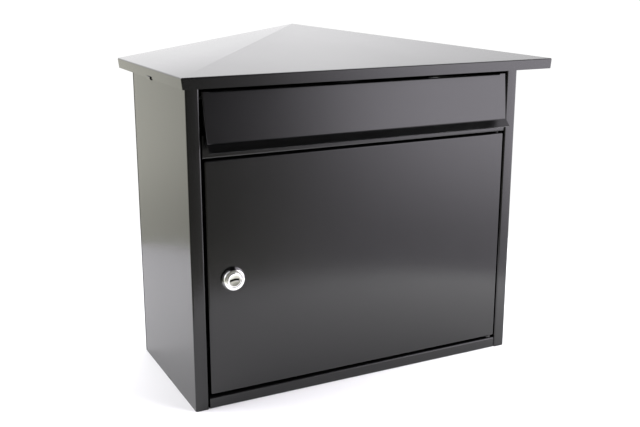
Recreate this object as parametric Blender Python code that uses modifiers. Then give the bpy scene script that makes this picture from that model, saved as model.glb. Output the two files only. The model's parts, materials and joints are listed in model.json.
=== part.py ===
"""Wall mounted mailbox in folded sheet steel: a hip roof, a lift-up letter flap and a lockable door.

Frame: metres, +X to the right, +Y into the wall, +Z up. The origin is on the back panel's outer
face, at the centre of its four wall holes. Sheet metal is drawn as the outer surface of an open
sheet, whose folds are rounded by Bevel and whose thickness comes from Solidify.
"""

import math

import bmesh
import bpy
from mathutils import Matrix, Vector

MM = 0.001

# ---- Driving dimensions -------------------------------------------------------------------------
SHEET = 1.0 * MM  # steel sheet thickness
FOLD = 1.7 * MM  # outer radius of a fold
EAVE_FOLD = 1.3 * MM  # the roof and its clips are folded tighter
GAP = 0.3 * MM  # left between pieces that touch
RUNNING = 0.1 * MM  # radial clearance of a pin in its hole

CASE_WIDTH = 370 * MM
CASE_DEPTH = 170 * MM
SIDE_HEIGHT = 324 * MM
ORIGIN_HEIGHT = 160 * MM  # the wall holes' centre above the underside
STILE_WIDTH = 13.3 * MM
STILE_RETURN = 12 * MM
HOLE_ACROSS, HOLE_UP = 260 * MM, 180 * MM  # spacing of the wall holes
HOLE_R = 3.5 * MM

EAVE_SIDE = 15.2 * MM  # roof overhang past each side
EAVE_FRONT = 36.7 * MM
EAVE_HEIGHT = 328.7 * MM  # eave fold above the underside
ROOF_RISE = 30 * MM
SKIRT = 10.2 * MM
SKIRT_LEAN = 1.2 * MM  # the side skirts lean in by this at their lower edge
CLIP_WIDTH = 12 * MM
CLIP_SHEET = 0.7 * MM

DOOR_LEFT, DOOR_RIGHT = -168.8 * MM, 170.6 * MM
DOOR_LOW, DOOR_HIGH = 14.5 * MM, 247.5 * MM  # above the underside
DOOR_RECESS = 0.3 * MM
DOOR_RETURN = 11 * MM
PIVOT_INSET = 6 * MM  # hinge axis from the door's right edge
PIVOT_DEPTH = 4.5 * MM  # hinge axis behind the door's face

FLAP_HALF = 169.6 * MM  # half its width along the top; its ends taper to FOOT_HALF
FOOT_HALF = 167.8 * MM
FLAP_TOP, FLAP_FOOT, LIP_FOOT = 311 * MM, 264 * MM, 256.7 * MM  # above the underside
FLAP_LEAN = 6.5 * MM  # how far the flap's foot stands out from the front
LIP_REACH = 13.2 * MM  # how far the finger lip stands out from the front

LOCK_INSET = 25.1 * MM  # lock centre from the door's left edge
LOCK_UP = 130.5 * MM  # lock centre above the underside
LOCK_HEAD_R = 12 * MM
LOCK_FACE_R = 10.2 * MM
BARREL_R = 9.5 * MM
PLUG_R = 7.2 * MM
CAM_REACH = 37 * MM

# ---- Places worked out from them ----------------------------------------------------------------
HALF = CASE_WIDTH / 2
FRONT = -CASE_DEPTH
BASE = -ORIGIN_HEIGHT
TOP = BASE + SIDE_HEIGHT
STILE_EDGE = HALF - STILE_WIDTH  # inner edge of each stile
STILE_REAR = FRONT + STILE_RETURN
RAIL_HALF = STILE_EDGE - 1.3 * MM  # rails end just short of the stiles
INSIDE = HALF - SHEET - GAP  # half width between the side walls

ROOF_HALF = HALF + EAVE_SIDE
ROOF_FRONT = FRONT - EAVE_FRONT
EAVE = BASE + EAVE_HEIGHT
ROOF_MIDDLE = ROOF_FRONT / 2  # middle of the roof's depth
CLIP_Y = FRONT + 62 * MM
SIDE_SLOPE = ROOF_RISE / ROOF_HALF

DOOR_FACE = FRONT + DOOR_RECESS
DOOR_BOTTOM, DOOR_TOP = BASE + DOOR_LOW, BASE + DOOR_HIGH
PIVOT_X = DOOR_RIGHT - PIVOT_INSET
PIVOT_Y = DOOR_FACE + PIVOT_DEPTH
PIN_R = 2 * MM
BASE_RAIL_TOP = BASE + 12 * MM
CROSS_RAIL_LOW = BASE + 249.3 * MM
CROSS_RAIL_HIGH = BASE + 272 * MM

ROD_R = 2 * MM
ROD_Y, ROD_Z = FRONT + 6 * MM, BASE + 305.5 * MM

LOCK_X = DOOR_LEFT + LOCK_INSET
LOCK_Z = BASE + LOCK_UP
LOCK_AT = Vector((LOCK_X, DOOR_FACE, LOCK_Z))

TAB_Y = FRONT / 2  # base tab, half way back along each side
TAB_WIDTH = 9.6 * MM

TO_FRONT = Matrix.Rotation(math.radians(90), 4, "X")  # turns +Z to -Y
TO_LEFT = Matrix.Rotation(math.radians(-90), 4, "Y")  # turns +Z to -X
TO_RIGHT = Matrix.Rotation(math.radians(90), 4, "Y")  # turns +Z to +X
ALONG = {"X": Vector((1, 0, 0)), "Y": Vector((0, 1, 0)), "Z": Vector((0, 0, 1))}


# ---- Scene, materials and objects ---------------------------------------------------------------
def clear_scene():
    for obj in list(bpy.data.objects):
        bpy.data.objects.remove(obj)


def collection(name, hidden=False):
    made = bpy.data.collections.new(name)
    made.hide_render = hidden
    bpy.context.scene.collection.children.link(made)
    return made


def material(name, colour, metallic, roughness):
    made = bpy.data.materials.new(name)
    made.use_nodes = True
    shader = made.node_tree.nodes["Principled BSDF"]
    shader.inputs["Base Color"].default_value = (*colour, 1)
    shader.inputs["Metallic"].default_value = metallic
    shader.inputs["Roughness"].default_value = roughness
    return made


clear_scene()
PARTS = collection("wall_mailbox")
CUTTERS = collection("cutters", hidden=True)
POWDER_COAT = material("black_powder_coat", (0.018, 0.018, 0.019), 0.0, 0.32)
CHROME = material("chrome", (0.80, 0.80, 0.80), 1.0, 0.08)
ZINC = material("zinc_plated_steel", (0.62, 0.62, 0.60), 1.0, 0.35)
BLACK_STEEL = material("black_oxide_steel", (0.03, 0.03, 0.032), 1.0, 0.4)
RUBBER = material("black_rubber", (0.02, 0.02, 0.02), 0.0, 0.8)
NYLON = material("black_nylon", (0.03, 0.03, 0.03), 0.0, 0.5)


def add_object(name, mesh, surface, smooth=True):
    obj = bpy.data.objects.new(name, mesh)
    obj.data.materials.append(surface)
    PARTS.objects.link(obj)
    if smooth:
        mesh.shade_smooth()
        mesh.set_sharp_from_angle(angle=math.radians(35))
    return obj


def mesh_of(bm, name):
    mesh = bpy.data.meshes.new(name)
    bm.to_mesh(mesh)
    bm.free()
    return mesh


# ---- Sheet metal --------------------------------------------------------------------------------
def sheet_object(name, bm, outward, fold=FOLD, thickness=SHEET):
    """An open surface made into folded sheet. outward is the way its largest face looks."""
    bmesh.ops.recalc_face_normals(bm, faces=bm.faces)
    largest = max(bm.faces, key=lambda face: face.calc_area())
    if largest.normal.dot(Vector(outward)) < 0:
        bmesh.ops.reverse_faces(bm, faces=bm.faces)
    obj = add_object(name, mesh_of(bm, name), POWDER_COAT, smooth=False)
    bend = obj.modifiers.new("folds", "BEVEL")
    bend.width = fold
    bend.segments = 3
    bend.limit_method = "ANGLE"
    bend.angle_limit = math.radians(30)
    wall = obj.modifiers.new("sheet", "SOLIDIFY")
    wall.thickness = thickness
    wall.offset = -1
    wall.use_even_offset = True
    return obj


def swept(profile, axis, start, end):
    """An open surface: a profile of 3D points swept along an axis from start to end."""
    bm = bmesh.new()
    step = ALONG[axis]
    points = [bm.verts.new(Vector(p) + step * start) for p in profile]
    edges = [bm.edges.new(pair) for pair in zip(points, points[1:])]
    made = bmesh.ops.extrude_edge_only(bm, edges=edges)
    new_points = [g for g in made["geom"] if isinstance(g, bmesh.types.BMVert)]
    bmesh.ops.translate(bm, verts=new_points, vec=step * (end - start))
    return bm


def rectangle(corner, u, v):
    """An open surface: one rectangular face from a corner and two sides."""
    bm = bmesh.new()
    bmesh.ops.create_grid(bm, x_segments=1, y_segments=1, size=0.5)
    corner, u, v = Vector(corner), Vector(u), Vector(v)
    for vert in bm.verts:
        vert.co = corner + u * (vert.co.x + 0.5) + v * (vert.co.y + 0.5)
    return bm


def split(bm, axis, *places):
    """Adds an edge loop across the sheet at each place along an axis."""
    for place in places:
        bmesh.ops.bisect_plane(
            bm,
            geom=[*bm.verts, *bm.edges, *bm.faces],
            plane_co=ALONG[axis] * place,
            plane_no=ALONG[axis],
        )


def edges_at(bm, *middles):
    """The open edges whose middles are nearest the given points."""
    open_edges = [edge for edge in bm.edges if edge.is_boundary]

    def distance(edge, point):
        return ((edge.verts[0].co + edge.verts[1].co) / 2 - Vector(point)).length

    return [min(open_edges, key=lambda edge: distance(edge, point)) for point in middles]


def flange(bm, edges, move):
    """Folds a flange off open edges. move is a vector, or gives one for each point."""
    made = bmesh.ops.extrude_edge_only(bm, edges=edges)
    for item in made["geom"]:
        if isinstance(item, bmesh.types.BMVert):
            item.co += Vector(move(item.co) if callable(move) else move)
    return [item for item in made["geom"] if isinstance(item, bmesh.types.BMEdge)]


# ---- Solid pieces -------------------------------------------------------------------------------
def cylinder_mesh(name, radius, length, place, turn=Matrix(), sides=32):
    """A cylinder from its own z = 0 to z = length, turned and then moved to its place."""
    bm = bmesh.new()
    bmesh.ops.create_cone(
        bm, cap_ends=True, segments=sides, radius1=radius, radius2=radius, depth=length
    )
    bmesh.ops.translate(bm, verts=bm.verts, vec=(0, 0, length / 2))
    bmesh.ops.transform(bm, verts=bm.verts, matrix=Matrix.Translation(place) @ turn)
    return mesh_of(bm, name)


def box_mesh(name, low, high):
    low, high = Vector(low), Vector(high)
    bm = bmesh.new()
    bmesh.ops.create_cube(bm, size=1)
    for vert in bm.verts:
        vert.co = Vector((low + high) / 2) + Vector(vert.co * (high - low))
    return mesh_of(bm, name)


def turned(name, profile, place, turn, surface, sides=32):
    """A turned piece: (radius, height) points down its outer side, spun about its own z axis.
    The outline is closed, so the points of a ring come back up its bore."""
    bm = bmesh.new()
    points = [bm.verts.new((radius, 0, height)) for radius, height in profile]
    for pair in zip(points, points[1:]):
        bm.edges.new(pair)
    if profile[0][0] > 0:
        bm.edges.new((points[-1], points[0]))
    obj = add_object(name, mesh_of(bm, name), surface, smooth=False)
    obj.matrix_world = Matrix.Translation(place) @ turn
    spin = obj.modifiers.new("spin", "SCREW")
    spin.axis = "Z"
    spin.steps = sides
    spin.render_steps = sides
    spin.use_merge_vertices = True
    spin.merge_threshold = 0.00001
    spin.use_smooth_shade = False
    return obj


def cut(obj, mesh):
    """Takes a cutter mesh, given in world space, out of a piece."""
    cutter = bpy.data.objects.new("cut_" + mesh.name, mesh)
    cutter.hide_render = True
    cutter.display_type = "WIRE"
    CUTTERS.objects.link(cutter)
    hole = obj.modifiers.new(mesh.name, "BOOLEAN")
    hole.operation = "DIFFERENCE"
    hole.solver = "EXACT"
    hole.object = cutter


def drill(obj, name, radius, place, turn=Matrix(), depth=6 * MM, sides=32):
    """Drills a hole of that depth, centred on its place."""
    start = Vector(place) - turn @ Vector((0, 0, depth / 2))
    cut(obj, cylinder_mesh(name, radius, depth, start, turn, sides))


def parent_to(empty_name, place, *pieces):
    """Puts pieces under an empty on their joint's axis, keeping them where they are."""
    pivot = bpy.data.objects.new(empty_name, None)
    pivot.location = place
    pivot.empty_display_size = 0.02
    PARTS.objects.link(pivot)
    bpy.context.view_layer.update()
    for piece in pieces:
        piece.parent = pivot
        piece.matrix_parent_inverse = pivot.matrix_world.inverted()
    return pivot


# ---- Casing -------------------------------------------------------------------------------------
def side_panel(name, side):
    """A side wall with its front stile, the stile's return and a rear flange. side is -1 or 1."""
    rear = -SHEET - GAP
    plan = [
        (side * (HALF - 14 * MM), rear, 0),
        (side * HALF, rear, 0),
        (side * HALF, FRONT, 0),
        (side * STILE_EDGE, FRONT, 0),
        (side * STILE_EDGE, STILE_REAR, 0),
    ]
    panel = sheet_object(name, swept(plan, "Z", BASE, TOP), (side, 0, 0))
    rod_hole = (side * STILE_EDGE, ROD_Y, ROD_Z)
    drill(panel, name + "_rod_hole", ROD_R + RUNNING, rod_hole, TO_RIGHT)
    notch_low = (side * (HALF - 0.5 * MM) - 2 * MM, TAB_Y - TAB_WIDTH / 2 - 0.4 * MM, BASE - MM)
    notch_high = (side * (HALF - 0.5 * MM) + 2 * MM, TAB_Y + TAB_WIDTH / 2 + 0.4 * MM, BASE + 1.6 * MM)
    cut(panel, box_mesh(name + "_tab_notch", notch_low, notch_high))
    return panel


def back_panel():
    """A flat back with a gable, whose sloping edges fold forward under the roof."""
    bm = rectangle((-HALF, 0, BASE), (CASE_WIDTH, 0, 0), (0, 0, SIDE_HEIGHT))
    split(bm, "X", 0)
    below_roof = 1.45 * MM  # the roof's sheet and a gap
    for vert in bm.verts:
        if vert.co.z > 0:
            vert.co.z = EAVE + (ROOF_HALF - abs(vert.co.x)) * SIDE_SLOPE - below_roof
    bare = 20 * MM  # the flanges stop short of the apex
    split(bm, "X", -bare, bare)
    middle = (HALF + bare) / 2
    edges = edges_at(bm, (-middle, 0, TOP + 0.02), (middle, 0, TOP + 0.02))
    flange(bm, edges, (0, -12 * MM, 0))
    panel = sheet_object("back_panel", bm, (0, 1, 0))
    for x in (-HOLE_ACROSS / 2, HOLE_ACROSS / 2):
        for z in (-HOLE_UP / 2, HOLE_UP / 2):
            drill(panel, "wall_hole", HOLE_R, (x, 0, z), TO_FRONT, sides=24)
    return panel


def base_tray():
    """The floor: upstands at the sides and rear, and the bottom rail with its return in front."""
    shoulder = STILE_REAR + GAP  # in front of this the floor is narrower, to pass between the stiles
    rear = -2 * SHEET - 2 * GAP
    bm = rectangle((-INSIDE, FRONT, BASE), (2 * INSIDE, 0, 0), (0, rear - FRONT, 0))
    tab_near, tab_far = TAB_Y - TAB_WIDTH / 2, TAB_Y + TAB_WIDTH / 2
    split(bm, "X", -RAIL_HALF, RAIL_HALF)
    split(bm, "Y", shoulder, tab_near, tab_far)
    corners = [
        face
        for face in bm.faces
        if face.calc_center_median().y < shoulder and abs(face.calc_center_median().x) > RAIL_HALF
    ]
    bmesh.ops.delete(bm, geom=corners, context="FACES")
    outer = []
    tabs = []
    for edge in bm.edges:
        if not edge.is_boundary:
            continue
        middle = (edge.verts[0].co + edge.verts[1].co) / 2
        if abs(middle.x) > INSIDE - MM:
            (tabs if tab_near < middle.y < tab_far else outer).append(edge)
        elif middle.y > rear - MM:
            outer.append(edge)
    rail = edges_at(bm, (0, FRONT, BASE))
    flange(bm, outer, (0, 0, 12 * MM))
    flange(bm, tabs, lambda at: (math.copysign(SHEET + GAP, at.x), 0, 0))
    flange(bm, rail, (0, 0, BASE_RAIL_TOP - BASE))
    flange(bm, edges_at(bm, (0, FRONT, BASE_RAIL_TOP)), (0, STILE_RETURN, 0))
    tray = sheet_object("base_tray", bm, (0, 0, -1))
    drill(tray, "base_pin_hole", PIN_R + RUNNING, (PIVOT_X, PIVOT_Y, BASE_RAIL_TOP), depth=4 * MM)
    return tray


def cross_rail():
    """The rail between door and flap. Its top slopes inwards and guides letters down."""
    profile = [
        (0, FRONT + 13 * MM, CROSS_RAIL_LOW),
        (0, FRONT, CROSS_RAIL_LOW),
        (0, FRONT, CROSS_RAIL_HIGH),
        (0, FRONT + 18 * MM, CROSS_RAIL_HIGH - 6 * MM),
    ]
    rail = sheet_object("cross_rail", swept(profile, "X", -RAIL_HALF, RAIL_HALF), (0, -1, 0))
    drill(rail, "rail_pin_hole", PIN_R + RUNNING, (PIVOT_X, PIVOT_Y, CROSS_RAIL_LOW), depth=4 * MM)
    return rail


def header_rail():
    """The channel that ties the stiles together above the letter slot."""
    low = BASE + 315.5 * MM
    profile = [
        (0, FRONT, low),
        (0, FRONT, TOP),
        (0, FRONT + 20 * MM, TOP),
        (0, FRONT + 20 * MM, TOP - 8 * MM),
    ]
    return sheet_object("header_rail", swept(profile, "X", -RAIL_HALF, RAIL_HALF), (0, 0, 1))


# ---- Roof ---------------------------------------------------------------------------------------
def roof():
    """Half of a four-sided pyramid, cut at the wall, with skirts folded down along its eaves."""
    bm = bmesh.new()
    bmesh.ops.create_cone(
        bm, cap_ends=False, segments=4, radius1=math.sqrt(2), radius2=0, depth=1,
        matrix=Matrix.Rotation(math.radians(45), 4, "Z"),
    )
    bmesh.ops.remove_doubles(bm, verts=bm.verts, dist=0.0001)
    for vert in bm.verts:
        x, y, z = vert.co
        vert.co = (x * ROOF_HALF, -y * ROOF_FRONT, EAVE + (z + 0.5) * ROOF_RISE)
    bmesh.ops.bisect_plane(
        bm, geom=[*bm.verts, *bm.edges, *bm.faces], dist=0.00001,
        plane_co=(0, 0, 0), plane_no=(0, 1, 0), clear_outer=True,
    )
    eaves = edges_at(bm, (0, ROOF_FRONT, EAVE))
    eaves += edges_at(bm, (-ROOF_HALF, ROOF_MIDDLE, EAVE), (ROOF_HALF, ROOF_MIDDLE, EAVE))
    flange(bm, eaves, lambda at: (-math.copysign(SKIRT_LEAN, at.x), 0, -SKIRT))
    return sheet_object("roof", bm, (0, 0, 1), fold=EAVE_FOLD)


def roof_clip(name, side):
    """A strap from the side wall's top out to the skirt, hooked under the skirt's lower edge."""
    wall, inside = side * (INSIDE - 0.2 * MM), side * (ROOF_HALF - 3.6 * MM)
    top, under = TOP + 0.9 * MM, EAVE - SKIRT - 2 * GAP - CLIP_SHEET
    end = under + 3.2 * MM

    def beside_skirt(height):
        return side * (ROOF_HALF - SKIRT_LEAN * (EAVE - height) / SKIRT + GAP + CLIP_SHEET)

    profile = [
        (wall, 0, TOP - 26 * MM),
        (wall, 0, top),
        (inside, 0, top),
        (inside, 0, under),
        (beside_skirt(under), 0, under),
        (beside_skirt(end), 0, end),
    ]
    bm = swept(profile, "Y", CLIP_Y - CLIP_WIDTH / 2, CLIP_Y + CLIP_WIDTH / 2)
    return sheet_object(name, bm, (side, 0, 0), EAVE_FOLD, CLIP_SHEET)


# ---- Letter flap --------------------------------------------------------------------------------
def letter_flap():
    """The flap's face, its finger lip, a stiffening return along the top and an ear at each end."""
    top, foot, lip = BASE + FLAP_TOP, BASE + FLAP_FOOT, BASE + LIP_FOOT
    profile = [(0, FRONT, top), (0, FRONT - FLAP_LEAN, foot), (0, FRONT - LIP_REACH, lip)]
    bm = swept(profile, "X", -FLAP_HALF, FLAP_HALF)
    for vert in bm.verts:
        if vert.co.z < top - MM:
            vert.co.x = math.copysign(FOOT_HALF, vert.co.x)
    stiffened = FLAP_HALF - 8 * MM
    split(bm, "X", -stiffened, stiffened)
    flange(bm, edges_at(bm, (0, FRONT, top)), (0, 5 * MM, 0))
    middle_y, middle_z = FRONT - FLAP_LEAN / 2, (top + foot) / 2
    ends = edges_at(bm, (-FLAP_HALF, middle_y, middle_z), (FLAP_HALF, middle_y, middle_z))
    ear_top, ear_foot = Vector((0, 13 * MM, -1.5 * MM)), Vector((0, 1.6 * MM, 2 * MM))
    flange(bm, ends, lambda at: ear_top if at.z > middle_z else ear_foot)
    flap = sheet_object("letter_flap", bm, (0, -1, 0))
    for side in (-1, 1):
        drill(flap, "ear_hole", ROD_R + RUNNING, (side * FLAP_HALF, ROD_Y, ROD_Z), TO_RIGHT)
    parent_to("flap_axis", (0, ROD_Y, ROD_Z), flap)
    return flap


def flap_rod():
    length = 2 * (STILE_EDGE + 4 * MM)
    mesh = cylinder_mesh("rod", ROD_R, length, (-length / 2, ROD_Y, ROD_Z), TO_RIGHT, 24)
    return add_object("flap_hinge_rod", mesh, BLACK_STEEL)


def rod_cap(name, side):
    """A push-on cap that keeps the rod in the stiles."""
    bore = ROD_R + RUNNING
    profile = [(0, 4.4), (2.4, 4.2), (3.8, 3.4), (4.5, 2.2), (4.5, 0)]
    profile = [(r * MM, z * MM) for r, z in profile] + [(bore, 0), (bore, 3 * MM), (0, 3 * MM)]
    place = (side * (STILE_EDGE + SHEET + GAP), ROD_Y, ROD_Z)
    return turned(name, profile, place, TO_LEFT if side < 0 else TO_RIGHT, BLACK_STEEL, sides=24)


def flap_bumper(name, side):
    """A rubber stop on the cross rail that the closed flap leans on."""
    radius, height = 5 * MM, BASE + 265 * MM
    slope = FLAP_LEAN / (FLAP_TOP - FLAP_FOOT)
    inside = slope * (BASE + FLAP_TOP - height - radius) - SHEET  # flap's inner face at its upper edge
    place = (side * 150 * MM, FRONT - GAP, height)
    mesh = cylinder_mesh(name, radius, inside - 2 * GAP, place, TO_FRONT, 24)
    return add_object(name, mesh, RUBBER)


# ---- Door ---------------------------------------------------------------------------------------
def door_panel():
    """The door: a shallow tray with a return on all four sides."""
    width, height = DOOR_RIGHT - DOOR_LEFT, DOOR_TOP - DOOR_BOTTOM
    bm = rectangle((DOOR_LEFT, DOOR_FACE, DOOR_BOTTOM), (width, 0, 0), (0, 0, height))
    flange(bm, list(bm.edges), (0, DOOR_RETURN, 0))
    door = sheet_object("door_panel", bm, (0, -1, 0))
    drill(door, "lock_hole", BARREL_R + 0.3 * MM, LOCK_AT, TO_FRONT)
    for end in (DOOR_BOTTOM, DOOR_TOP):
        drill(door, "pivot_hole", PIN_R + RUNNING, (PIVOT_X, PIVOT_Y, end), depth=4 * MM)
    return door


def door_pin(name, height, turn):
    """A headed pivot pin: its head is behind the rail's return, and its shank enters the door."""
    profile = [(0, 1.6), (2.8, 1.4), (3.2, 0.9), (3.2, 0)]
    profile = [(r * MM, z * MM) for r, z in profile] + [(PIN_R, 0), (PIN_R, -8 * MM), (0, -8 * MM)]
    return turned(name, profile, (PIVOT_X, PIVOT_Y, height), turn, BLACK_STEEL, sides=32)


def ring(name, inner, outer, length, place, turn, surface, sides=32):
    profile = [(outer, length), (outer, 0), (inner, 0), (inner, length)]
    return turned(name, profile, place, turn, surface, sides)


def door_stop(name, height):
    """An angle behind the left stile. Its inner leg stands behind the door's free edge."""
    face, stop = -STILE_EDGE - SHEET - GAP, FRONT + 14.6 * MM
    plan = [(face, FRONT + 2 * MM, 0), (face, stop, 0), (-STILE_EDGE + 8.5 * MM, stop, 0)]
    half = 7 * MM
    return sheet_object(name, swept(plan, "Z", height - half, height + half), (1, 0, 0))


def door_buffer(name, height):
    """A rubber pad on a door stop, which the door's edge closes against."""
    low = (-STILE_EDGE + 2 * MM, DOOR_FACE + DOOR_RETURN + GAP, height - 6 * MM)
    high = (-STILE_EDGE + 8 * MM, FRONT + 14.3 * MM, height + 6 * MM)
    return add_object(name, box_mesh(name, low, high), RUBBER, smooth=False)


# ---- Lock ---------------------------------------------------------------------------------------
# Heights are along the lock's axis, out of the door's face.
BARREL_REAR = -12.2 * MM
CAM_FRONT = -12.5 * MM
CAM_THICKNESS = 2 * MM
CAM_REAR = CAM_FRONT - CAM_THICKNESS
FACE = 5.2 * MM
BOSS_HALF = 4 * MM  # half the side of the square that drives the cam


def lock_body():
    """The fixed cam lock body: a coned head and a barrel with two flats."""
    bore = PLUG_R + RUNNING
    outline = [
        (LOCK_FACE_R - 0.5 * MM, FACE),
        (LOCK_FACE_R, FACE - 0.3 * MM),
        (LOCK_HEAD_R, 1.8 * MM),
        (LOCK_HEAD_R, GAP),
        (BARREL_R, GAP),
        (BARREL_R, BARREL_REAR),
        (bore, BARREL_REAR),
        (bore, FACE),
    ]
    body = turned("lock_body", outline, LOCK_AT, TO_FRONT, CHROME, sides=48)
    flat = 8.2 * MM  # from the axis
    for side in (-1, 1):
        near, far = sorted((side * flat, side * (BARREL_R + 3 * MM)))
        low = (LOCK_X + near, DOOR_FACE + 3.5 * MM, LOCK_Z - 15 * MM)
        high = (LOCK_X + far, DOOR_FACE + 15 * MM, LOCK_Z + 15 * MM)
        cut(body, box_mesh("barrel_flat", low, high))
    return body


def lock_plug():
    """The turning plug, with its keyway in front, and a square boss and screw hole behind."""
    step = BOSS_HALF * math.sqrt(2) + 0.2 * MM
    outline = [
        (0, FACE - 0.2 * MM),
        (PLUG_R - 0.2 * MM, FACE - 0.2 * MM),
        (PLUG_R, FACE - 0.4 * MM),
        (PLUG_R, BARREL_REAR + 0.2 * MM),
        (step, BARREL_REAR + 0.2 * MM),
        (step, CAM_REAR + 0.2 * MM),
        (0, CAM_REAR + 0.2 * MM),
    ]
    plug = turned("lock_plug", outline, LOCK_AT, TO_FRONT, CHROME, sides=48)
    front, rear = DOOR_FACE - CAM_FRONT - 0.2 * MM, DOOR_FACE + 20 * MM
    for turn in range(4):
        wall = box_mesh("boss_side", (BOSS_HALF, front, -9 * MM), (9 * MM, rear, 9 * MM))
        wall.transform(Matrix.Rotation(math.radians(90 * turn), 4, "Y"))
        wall.transform(Matrix.Translation((LOCK_X, 0, LOCK_Z)))
        cut(plug, wall)
    slot = Vector((4.8 * MM, 4 * MM, 0.9 * MM))
    mouth = Vector((LOCK_X, DOOR_FACE - FACE, LOCK_Z))
    cut(plug, box_mesh("keyway", mouth - slot, mouth + slot))
    drill(plug, "screw_hole", PIN_R + RUNNING, LOCK_AT + Vector((0, 14 * MM, 0)), TO_FRONT,
          16 * MM, 24)
    return plug


def lock_cam():
    """The cam: a flat lever with a round end about the plug and a square hole for its boss."""
    outline = bpy.data.curves.new("cam_outline", "CURVE")
    outline.dimensions = "2D"
    outline.fill_mode = "BOTH"
    outline.extrude = CAM_THICKNESS / 2
    radius, tip = 9 * MM, 6 * MM
    hub = [(radius * math.cos(a), radius * math.sin(a)) for a in arc_angles(10, 170, 12)]
    end = [
        (tip * math.cos(a), tip * math.sin(a) - CAM_REACH + tip) for a in arc_angles(190, 350, 10)
    ]
    square = [(BOSS_HALF + 0.15 * MM) * s for s in (-1, 1)]
    hole = [(square[0], square[0]), (square[0], square[1]), (square[1], square[1]),
            (square[1], square[0])]
    for points in (hub + end, hole):
        spline = outline.splines.new("POLY")
        spline.points.add(len(points) - 1)
        for point, (x, z) in zip(spline.points, points):
            point.co = (x, z, 0, 1)
        spline.use_cyclic_u = True
    cam = bpy.data.objects.new("lock_cam", outline)
    outline.materials.append(ZINC)
    PARTS.objects.link(cam)
    middle = (CAM_FRONT + CAM_REAR) / 2
    cam.matrix_world = Matrix.Translation(LOCK_AT - Vector((0, middle, 0))) @ TO_FRONT
    return cam


def arc_angles(start, end, steps):
    return [math.radians(start + (end - start) * i / steps) for i in range(steps + 1)]


def lock_nut():
    """The hexagon nut that holds the lock in the door."""
    rear = -6.4 * MM
    nut_mesh = cylinder_mesh(
        "nut", 13.9 * MM, 4 * MM, LOCK_AT - Vector((0, rear, 0)), TO_FRONT, sides=6
    )
    nut = add_object("lock_nut", nut_mesh, ZINC, smooth=False)
    drill(nut, "nut_bore", BARREL_R + RUNNING, LOCK_AT - Vector((0, rear, 0)), TO_FRONT, 16 * MM)
    return nut


def cam_screw():
    head = CAM_REAR - 1.6 * MM  # behind the washer
    outline = [
        (0, -6.5 * MM),
        (PIN_R, -6.5 * MM),
        (PIN_R, head),
        (4 * MM, head),
        (4 * MM, head - 2 * MM),
        (3.2 * MM, head - 2.8 * MM),
        (0, head - 2.8 * MM),
    ]
    return turned("cam_screw", outline, LOCK_AT, TO_FRONT, ZINC, sides=24)


def lock():
    """The lock's fixed pieces, and its turning pieces on an empty at the lock's axis."""
    lock_body()
    lock_nut()
    ring("lock_washer", BARREL_R + 0.15 * MM, 13 * MM, 0.8 * MM, LOCK_AT - Vector((0, -2.1 * MM, 0)),
         TO_FRONT, ZINC)
    washer = ring("cam_washer", PIN_R + 0.2 * MM, 6 * MM, 1 * MM,
                  LOCK_AT - Vector((0, CAM_REAR - 1.3 * MM, 0)), TO_FRONT, ZINC, 24)
    parent_to("lock_axis", LOCK_AT, lock_plug(), lock_cam(), cam_screw(), washer)


# ---- The mailbox --------------------------------------------------------------------------------
def main():
    back_panel()
    base_tray()
    cross_rail()
    header_rail()
    roof()
    for side, word in ((-1, "left"), (1, "right")):
        side_panel(word + "_side_panel", side)
        roof_clip("roof_clip_" + word, side)
        rod_cap("flap_rod_cap_" + word, side)
        flap_bumper("flap_bumper_" + word, side)
    letter_flap()
    flap_rod()
    door = door_panel()
    parent_to("door_axis", (PIVOT_X, PIVOT_Y, LOCK_Z), door)
    door_pin("door_pin_top", CROSS_RAIL_LOW + SHEET + GAP, Matrix())
    door_pin("door_pin_bottom", BASE_RAIL_TOP - SHEET - GAP, Matrix.Rotation(math.pi, 4, "X"))
    ring("door_washer", PIN_R + 0.2 * MM, 3.6 * MM, DOOR_BOTTOM - BASE_RAIL_TOP - 2 * GAP,
         (PIVOT_X, PIVOT_Y, BASE_RAIL_TOP + GAP), Matrix(), NYLON)
    for word, height in (("lower", BASE + 60 * MM), ("upper", BASE + 200 * MM)):
        door_stop("door_stop_" + word, height)
        door_buffer("door_buffer_" + word, height)
    lock()


main()
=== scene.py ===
"""Looks for the wall mounted mailbox: black powder-coated sheet, a chrome cam lock, a white studio.

Every sheet piece is made from its CAD node: the node's solid is welded, its flat areas are joined,
its edges are softened and it is shaded smooth. Small turned pieces are built here.
"""

import json
import math

import bmesh
import bpy
from mathutils import Matrix, Vector

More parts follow.
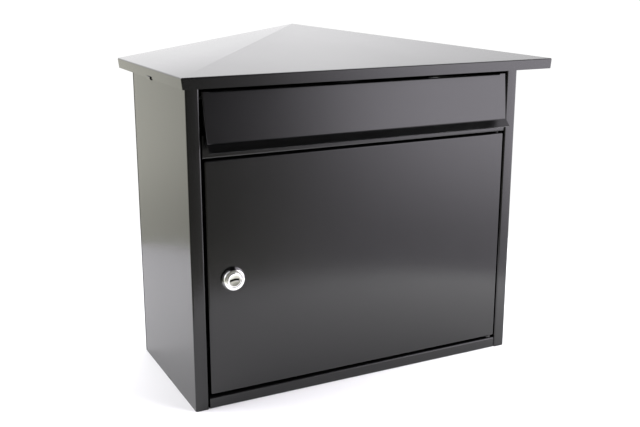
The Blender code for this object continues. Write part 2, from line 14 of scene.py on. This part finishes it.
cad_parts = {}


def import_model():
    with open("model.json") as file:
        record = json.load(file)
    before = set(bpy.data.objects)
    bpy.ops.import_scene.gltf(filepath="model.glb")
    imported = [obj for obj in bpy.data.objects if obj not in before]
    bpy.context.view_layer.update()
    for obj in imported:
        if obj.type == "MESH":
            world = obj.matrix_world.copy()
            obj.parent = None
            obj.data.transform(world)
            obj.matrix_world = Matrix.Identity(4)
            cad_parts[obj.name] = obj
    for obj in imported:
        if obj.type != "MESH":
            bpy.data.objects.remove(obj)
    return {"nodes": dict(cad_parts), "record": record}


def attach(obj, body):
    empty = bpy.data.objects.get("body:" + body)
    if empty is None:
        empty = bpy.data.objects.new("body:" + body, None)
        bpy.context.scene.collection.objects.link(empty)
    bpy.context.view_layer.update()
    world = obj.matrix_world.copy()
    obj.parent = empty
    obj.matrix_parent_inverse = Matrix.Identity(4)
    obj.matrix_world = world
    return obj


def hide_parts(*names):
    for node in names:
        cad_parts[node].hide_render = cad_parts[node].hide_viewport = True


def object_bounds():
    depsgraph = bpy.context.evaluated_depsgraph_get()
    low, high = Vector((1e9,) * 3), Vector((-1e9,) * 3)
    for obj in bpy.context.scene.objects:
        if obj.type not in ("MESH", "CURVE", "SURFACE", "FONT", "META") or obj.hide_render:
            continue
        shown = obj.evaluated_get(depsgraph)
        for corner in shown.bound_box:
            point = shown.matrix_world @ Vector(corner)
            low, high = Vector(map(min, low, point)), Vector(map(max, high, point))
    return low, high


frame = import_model()
cad_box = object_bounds()
NODES = frame["nodes"]
MM = 0.001

# Sizes of the lock in millimetres. Heights are along its axis, out of the door's face.
JOINTS = {joint["name"]: joint for joint in frame["record"]["behaviour"]["joints"]}
LOCK_AT = Vector(JOINTS["lock_turn"]["pos_m"])
FACE, BARREL_REAR = 5.2, -12.2
HEAD_R, BARREL_R, THREAD_ROOT = 12.0, 9.5, 9.0
BARREL_FLAT = 8.2  # from the axis to each flat
PITCH = 1.0
PLUG_R, PLUG_GAP = 7.2, 0.15
KEYWAY_R = 5.3  # a circle around the keyway
NUT_REAR, NUT_THICKNESS = -6.4, 4.0


# ---- Material helpers ---------------------------------------------------------------------------
class Tree:
    """A short way to write a node tree. An input is a value or another node's output."""

    def __init__(self, tree):
        self.tree = tree
        self.coords = self.add("TexCoord").outputs

    def add(self, kind, inputs=None, **settings):
        """A node with these settings and inputs, which are named or numbered."""
        node = self.tree.nodes.new("ShaderNode" + kind)
        for key, value in settings.items():
            setattr(node, key, value)
        for key, value in (inputs or {}).items():
            if isinstance(value, bpy.types.NodeSocket):
                self.tree.links.new(value, node.inputs[key])
            else:
                node.inputs[key].default_value = value
        return node

    def remap(self, value, low, high, to_low, to_high, **settings):
        """The value, taken from the range low..high to the range to_low..to_high."""
        inputs = {
            "Value": value, "From Min": low, "From Max": high, "To Min": to_low, "To Max": to_high
        }
        return self.add("MapRange", inputs, **settings).outputs["Result"]

    def mix(self, factor, a, b):
        """Colour a where the factor is 0, and b where it is 1."""
        return self.add("Mix", {0: factor, 6: a, 7: b}, data_type="RGBA").outputs[2]


class Nodes(Tree):
    """The node tree of a new material, around its Principled shader."""

    def __init__(self, name):
        self.material = bpy.data.materials.new(name)
        self.material.use_nodes = True
        super().__init__(self.material.node_tree)
        self.shader = self.tree.nodes["Principled BSDF"]
        self.place = self.coords["Object"]

    def set(self, **values):
        """Sets values on the shader's own sockets."""
        for key, value in values.items():
            self.shader.inputs[key].default_value = value

    def link(self, output, name):
        """Links an output to one of the shader's inputs."""
        self.tree.links.new(output, self.shader.inputs[name])

    def noise(self, scale, detail=2.0, rough=0.5, stretch=None):
        """Noise in the object's own coordinates, stretched if asked."""
        source = self.place
        if stretch:
            source = self.add("Mapping", {"Vector": source, "Scale": stretch}).outputs[0]
        inputs = {"Vector": source, "Scale": scale, "Detail": detail, "Roughness": rough}
        return self.add("TexNoise", inputs).outputs["Fac"]

    def bump(self, height, strength, distance, below=None):
        """A bumped normal, on top of the one below."""
        inputs = {"Height": height, "Strength": strength, "Distance": distance}
        if below:
            inputs["Normal"] = below
        return self.add("Bump", inputs).outputs["Normal"]


def grey(value, tint=(1, 1, 1)):
    """An opaque grey with a slight tint."""
    return (value * tint[0], value * tint[1], value * tint[2], 1)


# ---- Materials ----------------------------------------------------------------------------------
def powder_coat():
    """Satin black powder coat: fine orange peel, faint cloudiness, dust and rare pale nicks."""
    made = Nodes("powder_coat_satin_black")
    peel = made.noise(1100, 2, 0.55)
    fine = made.noise(4200, 1, 0.5)
    cloud = made.noise(9, 3, 0.6)
    dust = made.noise(240, 4, 0.7)
    dusty = made.remap(dust, 0.66, 0.80, 0.0, 0.05)
    base = made.mix(cloud, grey(0.0012, (1.0, 1.0, 1.04)), grey(0.0022, (1.0, 1.0, 1.0)))
    made.link(made.mix(dusty, base, grey(0.05, (1.0, 0.98, 0.94))), "Base Color")
    made.link(made.remap(cloud, 0.3, 0.7, 0.155, 0.185), "Roughness")
    wave = made.bump(made.noise(5.5, 1, 0.4), 0.25, 0.0006)
    low = made.bump(peel, 0.16, 0.00010, wave)
    made.link(made.bump(fine, 0.08, 0.00004, low), "Normal")
    made.set(IOR=1.5)
    return made.material


def chrome():
    """Polished chrome over a cast head: faint waviness, hairline scratches and handling marks.
    The keyway, which is near the lock's axis and below its face, is painted black and dull: painted
    shade in the slot."""
    made = Nodes("chrome_plate")
    offset = made.add("VectorMath", {0: made.place, 1: tuple(LOCK_AT)}, operation="SUBTRACT").outputs[0]
    flat = made.add("VectorMath", {0: offset, 1: (1, 0, 1)}, operation="MULTIPLY").outputs[0]
    across = made.add("VectorMath", {0: flat}, operation="LENGTH").outputs["Value"]
    depth = made.add("SeparateXYZ", {0: offset}).outputs[1]
    # Painted shade: a mask for the inside of the keyway, below the face and near the axis, where the
    # slot is in shade
    inward = made.remap(depth, -(FACE - 0.45) * MM, -(FACE - 1.1) * MM, 0.0, 1.0)
    keyway = made.remap(across, KEYWAY_R * MM, (KEYWAY_R + 0.3) * MM, inward, 0.0)
    marks = made.noise(420, 4, 0.7)
    hair = made.noise(900, 2, 0.5, stretch=(1.0, 1.0, 0.06))
    plate = made.mix(marks, grey(0.90, (1, 1, 0.995)), grey(0.82, (1, 1, 0.985)))
    # Painted shade in the keyway: black base colour, no metal and little specular, standing in for the
    # slot's shade
    made.link(made.mix(keyway, plate, grey(0.004)), "Base Color")
    made.link(made.remap(marks, 0.35, 0.75, 0.05, 0.13), "Roughness")
    low = made.bump(made.noise(260, 1, 0.4), 0.10, 0.00012)
    made.link(made.bump(hair, 0.05, 0.00003, low), "Normal")
    made.link(made.remap(keyway, 0.0, 1.0, 1.0, 0.0), "Metallic")
    made.link(made.remap(keyway, 0.0, 1.0, 0.5, 0.05), "Specular IOR Level")
    return made.material


def zinc():
    """Bright zinc plate: fine grain with slightly darker, duller patches."""
    made = Nodes("zinc_plate")
    patch = made.noise(130, 3, 0.6)
    grain = made.noise(2600, 2, 0.6)
    made.link(made.mix(patch, grey(0.60, (1, 1, 0.98)), grey(0.46, (1.0, 0.98, 0.92))), "Base Color")
    made.link(made.remap(patch, 0.3, 0.7, 0.26, 0.42), "Roughness")
    made.link(made.bump(grain, 0.2, 0.00003), "Normal")
    made.set(Metallic=1.0)
    return made.material


def rubber():
    """Moulded black rubber with a fine matt grain and a little chalky bloom."""
    made = Nodes("moulded_rubber")
    bloom = made.noise(210, 4, 0.65)
    made.link(made.mix(bloom, grey(0.016), grey(0.042, (1.0, 1.0, 0.98))), "Base Color")
    made.link(made.remap(bloom, 0.3, 0.7, 0.62, 0.82), "Roughness")
    made.link(made.bump(made.noise(3000, 2, 0.6), 0.3, 0.00005), "Normal")
    return made.material


def nylon():
    """Black nylon with a faint moulded grain."""
    made = Nodes("black_nylon")
    clouds = made.noise(190, 2, 0.5)
    made.link(made.mix(clouds, grey(0.012), grey(0.022, (1, 1, 0.98))), "Base Color")
    made.link(made.remap(clouds, 0.3, 0.7, 0.36, 0.5), "Roughness")
    made.link(made.bump(made.noise(2400, 1, 0.5), 0.15, 0.00004), "Normal")
    return made.material


def black_steel():
    """Black oxide on steel: dark, oily and slightly uneven, with worn grey specks."""
    made = Nodes("black_oxide_steel")
    patch = made.noise(160, 3, 0.6)
    worn = made.remap(made.noise(700, 4, 0.7), 0.66, 0.8, 0.0, 0.5)
    base = made.mix(patch, grey(0.014, (1, 1, 1.04)), grey(0.030, (1, 0.99, 1.02)))
    made.link(made.mix(worn, base, grey(0.22)), "Base Color")
    made.link(made.remap(patch, 0.3, 0.7, 0.34, 0.5), "Roughness")
    made.link(made.bump(made.noise(2600, 2, 0.6), 0.15, 0.00003), "Normal")
    made.set(Metallic=0.6)
    return made.material


SLOTS = {
    "powder_coat": powder_coat(),
    "chrome": chrome(),
    "zinc": zinc(),
    "black_steel": black_steel(),
    "rubber": rubber(),
    "nylon": nylon(),
}


# ---- Pieces from CAD nodes ----------------------------------------------------------------------
BODY_OF = {
    node: body
    for body, nodes in frame["record"]["behaviour"]["bodies"].items()
    for node in nodes
}
SLOT_OF = {entry["node"]: entry["material_slot"] for entry in frame["record"]["subparts"]}
SHEET_NODES = [
    "back_panel", "base_tray", "cross_rail", "header_rail", "left_side_panel", "right_side_panel",
    "roof", "roof_clip_left", "roof_clip_right", "door_stop_lower", "door_stop_upper",
    "letter_flap", "door_panel",
]


def shade(obj, angle=30):
    """Smooth shading, with edges above the angle kept sharp."""
    obj.data.shade_smooth()
    obj.data.set_sharp_from_angle(angle=math.radians(angle))


def settle(obj, node):
    """The piece stands for a CAD node: the node is hidden and the piece rides its body."""
    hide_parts(node)
    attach(obj, BODY_OF[node])


def crease(mesh, angle=math.radians(3), area=0.0005):
    """Keeps the line sharp where two large faces meet at a slight angle, as on the roof's hips."""
    bm = bmesh.new()
    bm.from_mesh(mesh)
    for edge in bm.edges:
        if len(edge.link_faces) == 2 and min(face.calc_area() for face in edge.link_faces) > area:
            edge.smooth = edge.smooth and edge.calc_face_angle() < angle
    bm.to_mesh(mesh)
    bm.free()


def soft_edges(obj, width, segments, angle):
    """Bevels the edges above the angle, with the flat faces still shaded flat."""
    soft = obj.modifiers.new("soft_edges", "BEVEL")
    soft.width = width
    soft.segments = segments
    soft.limit_method = "ANGLE"
    soft.angle_limit = math.radians(angle)
    soft.use_clamp_overlap = True
    flat = obj.modifiers.new("flat_faces_stay_flat", "WEIGHTED_NORMAL")
    flat.weight = 100
    flat.keep_sharp = True


def new_object(bm, name):
    """An object from a bmesh, which is freed."""
    mesh = bpy.data.meshes.new(name)
    bm.to_mesh(mesh)
    bm.free()
    obj = bpy.data.objects.new(name, mesh)
    bpy.context.scene.collection.objects.link(obj)
    return obj


def softened(node, name, edge=0.18 * MM, segments=2):
    """A piece made from a CAD node's own solid, with softened edges and smooth folds."""
    bm = bmesh.new()
    bm.from_mesh(NODES[node].data)
    bmesh.ops.remove_doubles(bm, verts=bm.verts, dist=0.002 * MM)
    bmesh.ops.dissolve_limit(bm, angle_limit=math.radians(0.6), verts=bm.verts, edges=bm.edges)
    obj = new_object(bm, name)
    mesh = obj.data
    if "custom_normal" in mesh.attributes:
        mesh.attributes.remove(mesh.attributes["custom_normal"])
    mesh.materials.append(SLOTS[SLOT_OF[node]])
    shade(obj)
    crease(mesh)
    soft_edges(obj, edge, segments, 50)
    settle(obj, node)


# ---- Turned pieces ------------------------------------------------------------------------------
TO_FRONT = Matrix.Rotation(math.radians(90), 4, "X")  # turns +Z to -Y
TO_RIGHT = Matrix.Rotation(math.radians(90), 4, "Y")  # turns +Z to +X
TO_LEFT = Matrix.Rotation(math.radians(-90), 4, "Y")  # turns +Z to -X
UPSIDE_DOWN = Matrix.Rotation(math.pi, 4, "X")


class Box:
    """The box around a CAD node, in metres. Its front and rear are its ends along the lock's axis,
    as heights in millimetres out of the door's face."""

    def __init__(self, node):
        points = [vert.co for vert in NODES[node].data.vertices]
        self.low = Vector([min(p[i] for p in points) for i in range(3)])
        self.high = Vector([max(p[i] for p in points) for i in range(3)])
        self.middle = (self.low + self.high) / 2
        self.size = self.high - self.low
        self.front = (LOCK_AT.y - self.low.y) / MM
        self.rear = (LOCK_AT.y - self.high.y) / MM


def lathe(rows, segments=64, bored=False):
    """A turned mesh about +Z from (radius, height) rows, in millimetres, down its outer side.
    A radius may be a function of the angle. A bored piece's rows come back up its bore."""
    bm = bmesh.new()
    rings = []
    for radius, height in rows:
        if radius == 0:
            rings.append([bm.verts.new((0, 0, height * MM))])
            continue
        ring = []
        for step in range(segments):
            angle = math.tau * step / segments
            reach = (radius(angle) if callable(radius) else radius) * MM
            ring.append(bm.verts.new((reach * math.cos(angle), reach * math.sin(angle), height * MM)))
        rings.append(ring)
    pairs = list(zip(rings, rings[1:]))
    if bored:
        pairs.append((rings[-1], rings[0]))
    for upper, lower in pairs:
        for here in range(segments):
            after = (here + 1) % segments
            corners = [
                upper[here % len(upper)], lower[here % len(lower)],
                lower[after % len(lower)], upper[after % len(upper)],
            ]
            bm.faces.new(list(dict.fromkeys(corners)))
    bmesh.ops.recalc_face_normals(bm, faces=bm.faces)
    return bm


def extruded(outline, low, high):
    """A prism along Z over a closed outline of (x, y) points, in millimetres."""
    bm = bmesh.new()
    points = [bm.verts.new((x * MM, y * MM, low * MM)) for x, y in outline]
    made = bmesh.ops.extrude_face_region(bm, geom=[bm.faces.new(points)])
    moved = [item for item in made["geom"] if isinstance(item, bmesh.types.BMVert)]
    bmesh.ops.translate(bm, verts=moved, vec=(0, 0, (high - low) * MM))
    bmesh.ops.recalc_face_normals(bm, faces=bm.faces)
    return bm


def plain_object(bm, name, place=(0, 0, 0), turn=Matrix()):
    """An object from a bmesh that is turned, then put in its place."""
    bmesh.ops.transform(bm, matrix=Matrix.Translation(place) @ turn, verts=bm.verts)
    return new_object(bm, name)


def carve(obj, *cutters):
    """Takes the cutters out of a piece and removes them."""
    for cutter in cutters:
        hole = obj.modifiers.new("hole", "BOOLEAN")
        hole.operation = "DIFFERENCE"
        hole.solver = "EXACT"
        hole.object = cutter
    seen = obj.evaluated_get(bpy.context.evaluated_depsgraph_get())
    carved = bpy.data.meshes.new_from_object(seen)
    obj.modifiers.clear()
    obj.data = carved
    for cutter in cutters:
        bpy.data.objects.remove(cutter)


def finish_turned(obj, node, edge, angle=32):
    """Gives a turned piece its material, shading and softened edges, and settles it."""
    obj.data.materials.clear()
    obj.data.materials.append(SLOTS[SLOT_OF[node]])
    shade(obj, angle)
    if edge:
        soft_edges(obj, edge, 2, angle)
    settle(obj, node)


def turned(node, rows, place, turn, segments=64, bored=False):
    """A turned piece whose rows already round its edges."""
    obj = plain_object(lathe(rows, segments, bored), node + "_turned", place, turn)
    finish_turned(obj, node, edge=0)


# ---- Lock ---------------------------------------------------------------------------------------
def thread_rows(crest, root, top, bottom, flat):
    """Rows of a helical thread between two heights, with a flat on two opposite sides."""
    steps = round(abs(top - bottom) / PITCH * 6)

    def radius_at(height):
        def radius(angle):
            phase = (height / PITCH + angle / math.tau) % 1
            depth = min(1, abs(phase * 2 - 1) * 1.25)
            reach = root + (crest - root) * depth
            return min(reach, flat / max(abs(math.cos(angle)), 0.01))
        return radius

    heights = [top + (bottom - top) * step / steps for step in range(steps + 1)]
    return [(radius_at(height), height) for height in heights]


def lock_body():
    """The head, whose rim is coned, and its threaded barrel with two flats."""
    bore = PLUG_R + PLUG_GAP
    rows = [
        (bore, FACE - 0.25), (bore + 0.2, FACE), (9.6, FACE), (10.05, FACE - 0.12),
        (10.3, FACE - 0.45), (HEAD_R - 0.25, 1.9), (HEAD_R, 1.2), (HEAD_R, 0.5), (HEAD_R - 0.2, 0.3),
        (THREAD_ROOT, 0.3), (THREAD_ROOT, -1.0),
    ]
    rows += thread_rows(BARREL_R, THREAD_ROOT, -1.2, BARREL_REAR + 0.6, BARREL_FLAT)
    rows += [(8.0, BARREL_REAR), (bore, BARREL_REAR)]
    turned("lock_body", rows, LOCK_AT, TO_FRONT, 96, bored=True)


def lock_plug():
    """The plug: a shallow dished face with a wavy keyway, and a square boss behind."""
    def square(angle):
        """The boss's radius at an angle: a square of 8 mm with its corners cut round."""
        turned_by = (angle + math.pi / 4) % (math.pi / 2) - math.pi / 4
        return min(4.0 / math.cos(turned_by), 5.3)

    def slot(widen, half_height):
        """A closed outline along the keyway's wavy middle line."""
        upper = [(x * widen, y + half_height) for x, y in middle]
        lower = [(x * widen, y - half_height) for x, y in reversed(middle)]
        return upper + lower

    boss_rear, screw_hole_r = -14.3, 2.1
    rows = [
        (0, FACE - 0.3), (5.6, FACE - 0.3), (6.1, FACE - 0.22), (6.8, FACE - 0.2),
        (PLUG_R - 0.1, FACE - 0.35), (PLUG_R, FACE - 0.6), (PLUG_R, BARREL_REAR + 0.2),
        (5.6, BARREL_REAR + 0.2), (square, BARREL_REAR + 0.15), (square, boss_rear),
        (screw_hole_r, boss_rear), (screw_hole_r, -7), (0, -7),
    ]
    obj = plain_object(lathe(rows, 96), "lock_plug_turned")
    across = [step * 0.6 - 4.8 for step in range(17)]
    middle = [(x, 0.45 * math.cos(0.5 * x) + 0.05 * x) for x in across]
    keyway = plain_object(extruded(slot(1.0, 1.0), FACE - 4.2, FACE + 1), "keyway")
    mouth = plain_object(extruded(slot(1.04, 1.2), FACE - 0.5, FACE + 1), "keyway_mouth")
    carve(obj, keyway, mouth)
    obj.data.transform(Matrix.Translation(LOCK_AT) @ TO_FRONT)
    finish_turned(obj, "lock_plug", 0.05 * MM)


def lock_nut():
    """A hexagon nut, chamfered at both faces, on the barrel's thread."""
    apothem, corner, face_r, bore = 12.04, 13.9, 11.9, 9.65

    def hexagon(limit):
        """A hexagon's radius at an angle, cut off at the limit."""
        def radius(angle):
            off = (angle + math.pi / 6) % (math.pi / 3) - math.pi / 6
            return min(apothem / math.cos(off), limit)
        return radius

    top = NUT_THICKNESS
    drops = [(0, 0), (0.25, 0.12), (0.5, 0.3), (0.75, 0.6), (1.0, 1.0)]
    chamfer = [(hexagon(face_r + (corner - face_r) * out), drop) for out, drop in drops]
    rows = [(11.2, top)]
    rows += [(radius, top - drop) for radius, drop in chamfer]
    rows += [(radius, drop) for radius, drop in reversed(chamfer)]
    rows += [(11.2, 0), (10.2, 0), (bore, 0.5), (bore, top - 0.5), (10.2, top)]
    place = LOCK_AT - Vector((0, NUT_REAR * MM, 0))
    obj = plain_object(lathe(rows, 96, bored=True), "lock_nut_turned", place, TO_FRONT)
    finish_turned(obj, "lock_nut", 0.06 * MM, 24)


def cam_screw():
    """A pan head screw with a cross recess, whose head is at the rear."""
    box = Box("cam_screw")
    head_r, shank_r, head_height = 4.0, 2.0, 2.8
    rear, under_head = box.rear, box.rear + head_height
    rows = [
        (0, rear), (2.2, rear + 0.05), (3.3, rear + 0.4), (head_r - 0.15, rear + 1.0),
        (head_r, rear + 1.7), (head_r, under_head - 0.2), (head_r - 0.15, under_head),
        (shank_r, under_head), (shank_r, box.front), (0, box.front),
    ]
    obj = plain_object(lathe(rows, 64), "cam_screw_turned")
    side = [(-2.3, -0.45), (-1.9, -0.5), (1.9, -0.5), (2.3, -0.45)]
    outline = side + [(-x, -y) for x, y in side]
    arms = []
    for degrees in (20, 110):
        arm = extruded(outline, rear - 1, rear + 1.5)
        for vert in arm.verts:
            if vert.co.z > (rear + 1) * MM:
                vert.co.x *= 0.55
        turn = Matrix.Rotation(math.radians(degrees), 4, "Z")
        arms.append(plain_object(arm, "recess", turn=turn))
    carve(obj, *arms)
    obj.data.transform(Matrix.Translation(LOCK_AT) @ TO_FRONT)
    finish_turned(obj, "cam_screw", 0.05 * MM)


def washer(node, inner, edge=0.1):
    """A flat washer about the lock's axis, with rounded rims."""
    box = Box(node)
    outer, top, bottom = box.size.x / 2 / MM, box.front, box.rear
    rows = [
        (inner, top), (outer - edge * 2, top), (outer - edge * 0.5, top - edge * 0.7),
        (outer, top - edge * 2), (outer, bottom + edge), (outer - edge, bottom), (inner, bottom),
    ]
    turned(node, rows, LOCK_AT, TO_FRONT, bored=True)


# ---- Hinges, stops and buffers ------------------------------------------------------------------
def flap_rod():
    """The rod through stiles and flap, with chamfered ends."""
    box = Box("flap_hinge_rod")
    reach, radius = box.size.x / MM, box.size.z / 2 / MM
    rows = [
        (0, reach), (radius - 0.35, reach), (radius, reach - 0.5), (radius, 0.5),
        (radius - 0.35, 0), (0, 0),
    ]
    turned("flap_hinge_rod", rows, (box.low.x, box.middle.y, box.middle.z), TO_RIGHT)


def rod_cap(side, turn):
    """A domed push-on cap with a turned-out brim."""
    node = "flap_rod_cap_" + side
    box = Box(node)
    start = box.low.x if side == "right" else box.high.x
    rows = [
        (0, 4.4), (1.2, 4.36), (2.4, 4.15), (3.2, 3.7), (3.55, 3.1), (3.6, 1.3), (3.8, 0.9),
        (4.4, 0.75), (4.5, 0.5), (4.5, 0.1), (4.4, 0), (2.3, 0), (2.1, 0.25), (2.1, 3.0), (0, 3.0),
    ]
    turned(node, rows, (start, box.middle.y, box.middle.z), turn)


def door_pin(end, turn):
    """A round-headed pivot pin with a chamfered tip."""
    node = "door_pin_" + end
    box = Box(node)
    head = 1.6
    height = box.high.z - head * MM if end == "top" else box.low.z + head * MM
    rows = [
        (0, head), (1.6, 1.5), (2.6, 1.15), (3.1, 0.6), (3.2, 0.3), (3.15, 0.05), (3.0, 0),
        (2.0, 0), (2.0, -7.5), (1.6, -8), (0, -8),
    ]
    turned(node, rows, (box.middle.x, box.middle.y, height), turn)


def door_washer():
    """A nylon washer on the bottom pin, with chamfered rims."""
    box = Box("door_washer")
    inner, outer, height = 2.2, box.size.x / 2 / MM, box.size.z / MM
    rows = [
        (inner, height), (outer - 0.25, height), (outer, height - 0.25), (outer, 0.25),
        (outer - 0.25, 0), (inner, 0),
    ]
    turned("door_washer", rows, (box.middle.x, box.middle.y, box.low.z), Matrix(), bored=True)


def flap_bumper(side):
    """A round rubber foot with a domed face and a flat rim."""
    node = "flap_bumper_" + side
    box = Box(node)
    radius, height = box.size.x / 2 / MM, box.size.y / MM
    rows = [
        (0, height), (radius * 0.45, height - 0.06), (radius * 0.75, height - 0.25),
        (radius * 0.9, height - 0.65), (radius * 0.95, height - 1.2), (radius, 0.5),
        (radius, 0.2), (radius - 0.2, 0), (0, 0),
    ]
    turned(node, rows, (box.middle.x, box.high.y, box.middle.z), TO_FRONT)


for node in SHEET_NODES:
    softened(node, node + "_sheet")
softened("lock_cam", "lock_cam_plate", 0.25 * MM, 3)
for node in ("door_buffer_lower", "door_buffer_upper"):
    softened(node, node + "_pad", 0.7 * MM, 4)
lock_body()
lock_plug()
lock_nut()
cam_screw()
washer("lock_washer", 9.7)
washer("cam_washer", 2.25)
flap_rod()
rod_cap("left", TO_LEFT)
rod_cap("right", TO_RIGHT)
door_pin("top", Matrix())
door_pin("bottom", UPSIDE_DOWN)
door_washer()
flap_bumper("left")
flap_bumper("right")


# ---- Studio -------------------------------------------------------------------------------------
FLOOR_RADIUS = 0.5
FLOOR_DROP = 0.2 * MM  # below the box's underside, so that the two don't flicker
FLOOR_TINT = (0.99, 0.985, 1.005)
CAMERA_AT = (-0.44375, -0.95185, 0.25774)
CAMERA_YAW, CAMERA_PITCH = 26.71, -14.11  # degrees
FOCAL_LENGTH, SENSOR_WIDTH = 51.59, 36  # millimetres
SHIFT = -0.0211
BACKDROP = 1.05  # what the camera sees behind the box, just above white


def floor():
    """A pale floor disc with a faint mottle."""
    made = Nodes("studio_floor")
    mottle = made.noise(3, 2, 0.5)
    made.link(made.mix(mottle, grey(0.90, FLOOR_TINT), grey(0.93, FLOOR_TINT)), "Base Color")
    made.link(made.remap(mottle, 0.3, 0.7, 0.75, 0.85), "Roughness")
    made.link(made.bump(made.noise(60, 2, 0.5), 0.05, 0.001), "Normal")
    bm = bmesh.new()
    bmesh.ops.create_circle(bm, cap_ends=True, segments=96, radius=FLOOR_RADIUS)
    obj = new_object(bm, "studio_floor")
    obj.location.z = cad_box[0][2] - FLOOR_DROP
    obj.data.materials.append(made.material)


def area_light(name, place, target, size, power):
    """A soft light for the floor, which the powder coat doesn't mirror."""
    lamp = bpy.data.lights.new(name, "AREA")
    lamp.shape = "RECTANGLE"
    lamp.size, lamp.size_y = size
    lamp.energy = power
    obj = bpy.data.objects.new(name, lamp)
    obj.location = place
    aim = Vector(target) - Vector(place)
    obj.rotation_euler = aim.to_track_quat("-Z", "Y").to_euler()
    obj.visible_glossy = False
    bpy.context.scene.collection.objects.link(obj)


def world():
    """A white studio, bright behind and to the right, dim in front on the left, dimmer overhead.

    Brightness depends on the direction: x is to the right, y away from the front and z up."""
    studio = bpy.data.worlds.new("studio")
    studio.use_nodes = True
    made = Tree(studio.node_tree)
    x, y, z = made.add("SeparateXYZ", {0: made.coords["Generated"]}).outputs

    def remap(value, low, high, to_low, to_high):
        return made.remap(value, low, high, to_low, to_high, interpolation_type="SMOOTHSTEP")

    # About level with the eye, in front of the box and behind it.
    front_low = remap(x, 0.35, 0.62, 0.20, 4.4)
    front_high = remap(x, 0.37, 0.54, 0.10, 4.7)
    front = remap(z, -0.10, 0.08, front_low, front_high)
    back_left = remap(x, -0.35, 0.20, 1.3, 1.7)
    back = remap(x, 0.42, 0.65, back_left, 1.7)
    back = remap(z, 0.15, 0.32, back, remap(x, 0.42, 0.65, 2.2, 1.5))
    horizon = remap(y, -0.35, 0.25, front, back)

    # A little down, then further down to the table in front of the box.
    middle = remap(x, 0.44, 0.62, remap(x, 0.33, 0.44, 0.25, 1.05), 1.4)
    middle = remap(y, -0.35, 0.25, middle, 0.9)
    low = remap(x, 0.32, 0.60, 1.45, 2.1)
    down = remap(z, -0.28, -0.17, middle, horizon)
    down = remap(z, -0.42, -0.28, low, down)

    # Overhead.
    above = remap(y, -0.25, 0.15, remap(x, 0.45, 0.58, 0.0, 1.4), 1.2)
    light = remap(z, 0.40, 0.60, down, above)

    # Faintly violet in front, and warm above the level on the left. The backdrop is white.
    seen = made.add("LightPath").outputs["Is Camera Ray"]
    horizon_tint = remap(y, -0.25, 0.25, 0.0, 1.0)
    warmth = remap(z, 0.0, 0.15, remap(x, 0.34, 0.46, 1.0, 0.0), 0.0)
    tint = made.mix(horizon_tint, (1, 0.96, 1.05, 1), (1, 0.995, 1.01, 1))
    tint = made.mix(warmth, tint, (1, 0.99, 0.88, 1))
    tint = made.mix(seen, tint, (1, 1, 1, 1))
    background = made.tree.nodes["Background"]
    made.tree.links.new(tint, background.inputs["Color"])
    made.tree.links.new(remap(seen, 0.0, 1.0, light, BACKDROP), background.inputs["Strength"])
    bpy.context.scene.world = studio


def camera():
    """The camera, in front of the box, to its left and a little above."""
    lens = bpy.data.cameras.new("camera")
    lens.sensor_width = SENSOR_WIDTH
    lens.lens = FOCAL_LENGTH
    lens.shift_y = SHIFT
    lens.clip_start = 0.01
    obj = bpy.data.objects.new("camera", lens)
    obj.location = CAMERA_AT
    obj.rotation_euler = (math.radians(90 + CAMERA_PITCH), 0, math.radians(-CAMERA_YAW))
    bpy.context.scene.collection.objects.link(obj)
    bpy.context.scene.camera = obj


floor()
world()
area_light("right_softbox", (1.2, -0.3, 0.7), (0.1, -0.3, -0.16), (1.0, 1.0), 6)
area_light("left_softbox", (-0.6, 0.1, 0.25), (-0.22, -0.05, -0.16), (0.5, 0.4), 3.6)
area_light("front_fill", (0.42, -0.62, 0.18), (0.14, -0.22, -0.16), (0.5, 0.3), 7.5)
camera()
bpy.context.scene.view_settings.view_transform = "Standard"
